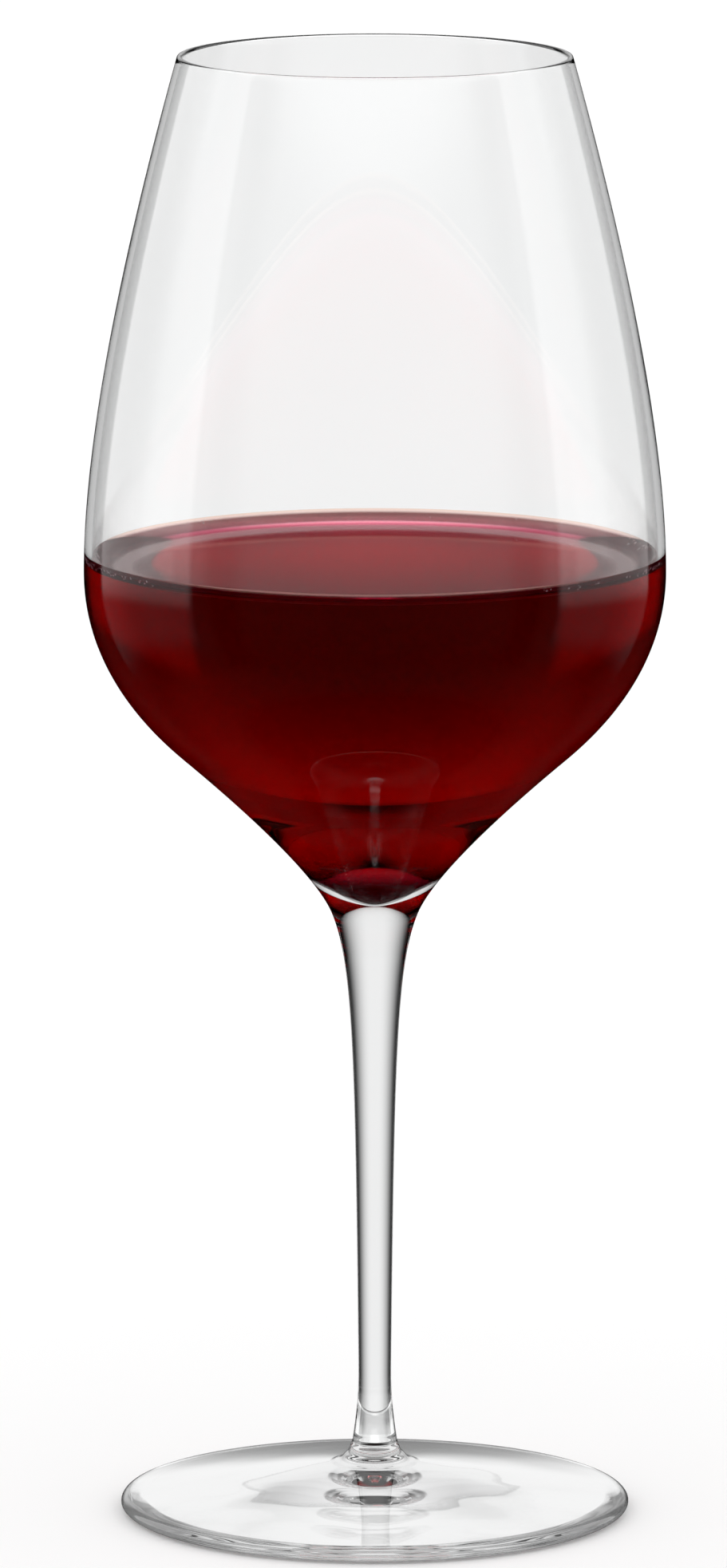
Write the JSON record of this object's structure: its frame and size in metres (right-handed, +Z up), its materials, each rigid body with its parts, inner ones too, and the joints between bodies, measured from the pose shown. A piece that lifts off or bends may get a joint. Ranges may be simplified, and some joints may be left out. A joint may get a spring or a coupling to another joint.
{
  "type": "wine glass",
  "caption": "Tall stemmed red wine glass with a tapered bowl, drawn stem and wide foot, partly filled with red wine.",
  "frame": {"origin": "centre of the circle that the foot rests on, on the table", "axes": "+Z up along the axis of the bowl, stem and foot; the shape is the same all round, so X and Y are any two level directions"},
  "size_m": [0.0914, 0.0914, 0.232],
  "materials": {
    "bowl_glass": "clear polished glass",
    "stem_glass": "clear polished glass",
    "foot_glass": "clear polished glass",
    "red_wine": "clear deep red liquid with a still, shining surface"
  },
  "bodies": {
    "root": {"bowl": "bowl_glass", "stem": "stem_glass", "foot": "foot_glass", "wine": "red_wine"}
  },
  "joints": []
}
